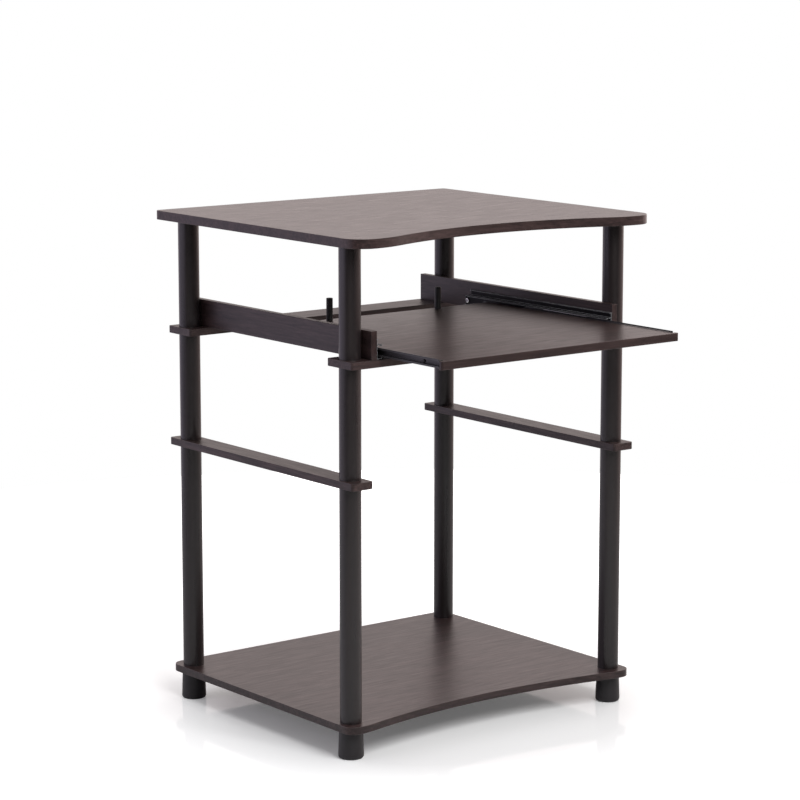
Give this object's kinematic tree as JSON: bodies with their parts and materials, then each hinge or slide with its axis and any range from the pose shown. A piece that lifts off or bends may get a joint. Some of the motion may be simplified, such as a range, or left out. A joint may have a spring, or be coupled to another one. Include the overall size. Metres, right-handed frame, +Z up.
{
  "type": "laptop desk",
  "caption": "Compact laptop desk: shaped top board over a pull-out keyboard tray and an open bottom shelf, carried on screwed-together tube posts.",
  "frame": {"origin": "On the floor under the middle of the whole desk, the tray counted as far out as it stands in the picture.", "axes": "+Z is up, -Y is the front where the keyboard tray pulls out, and +X is to the right seen from the front."},
  "size_m": [0.565, 0.629, 0.7638],
  "materials": {
    "dark_laminate": "satin dark brown wood-grain laminate",
    "edge_band": "satin dark brown wood-grain edge band",
    "post_tube": "satin charcoal brown tube",
    "foot_plastic": "satin charcoal moulded plastic",
    "black_plastic": "matte black moulded plastic",
    "black_steel": "black coated pressed steel",
    "cage_steel": "plain pressed steel strip",
    "ball_steel": "polished steel balls",
    "bright_steel": "bright zinc plated screws"
  },
  "bodies": {
    "desk_frame": {"top_board": "dark_laminate", "top_board_edge_band": "edge_band", "top_board_inserts": "black_plastic", "top_stud_plugs": "black_plastic", "tube_stud_plugs": "black_plastic", "tube_socket_plugs": "black_plastic", "front_left_upper_tube": "post_tube", "front_left_middle_tube": "post_tube", "front_left_lower_tube": "post_tube", "front_right_upper_tube": "post_tube", "front_right_middle_tube": "post_tube", "front_right_lower_tube": "post_tube", "back_left_upper_tube": "post_tube", "back_left_middle_tube": "post_tube", "back_left_lower_tube": "post_tube", "back_right_upper_tube": "post_tube", "back_right_middle_tube": "post_tube", "back_right_lower_tube": "post_tube", "front_left_foot": "foot_plastic", "front_right_foot": "foot_plastic", "back_left_foot": "foot_plastic", "back_right_foot": "foot_plastic", "front_keyboard_strip": "dark_laminate", "back_keyboard_strip": "dark_laminate", "left_side_strip": "dark_laminate", "right_side_strip": "dark_laminate", "left_rail": "dark_laminate", "right_rail": "dark_laminate", "rail_screws": "black_steel", "bottom_shelf": "dark_laminate", "bottom_shelf_edge_band": "edge_band", "left_slide_channel": "black_steel", "right_slide_channel": "black_steel", "channel_screws": "black_steel", "tab_screws": "bright_steel"},
    "sliding_tray": {"keyboard_tray": "dark_laminate", "keyboard_tray_edge_band": "edge_band", "left_rear_peg": "black_plastic", "right_rear_peg": "black_plastic", "left_slide_runner": "black_steel", "right_slide_runner": "black_steel", "runner_screws": "black_steel"},
    "left_cage": {"left_ball_cage": "cage_steel", "left_slide_balls": "ball_steel"},
    "right_cage": {"right_ball_cage": "cage_steel", "right_slide_balls": "ball_steel"}
  },
  "joints": [
    {"name": "tray_slide", "type": "slide", "parent": "desk_frame", "child": "sliding_tray", "axis": [0, -1, 0], "range_m": [-0.138, 0.05]},
    {"name": "left_cage_roll", "type": "slide", "parent": "desk_frame", "child": "left_cage", "axis": [0, -1, 0], "range_m": [-0.0691, 0.0251]},
    {"name": "right_cage_roll", "type": "slide", "parent": "desk_frame", "child": "right_cage", "axis": [0, -1, 0], "range_m": [-0.0691, 0.0251]}
  ],
  "couplings": [
    {"joint": "left_cage_roll", "follows": "tray_slide", "ratio": 0.5},
    {"joint": "right_cage_roll", "follows": "tray_slide", "ratio": 0.5}
  ]
}
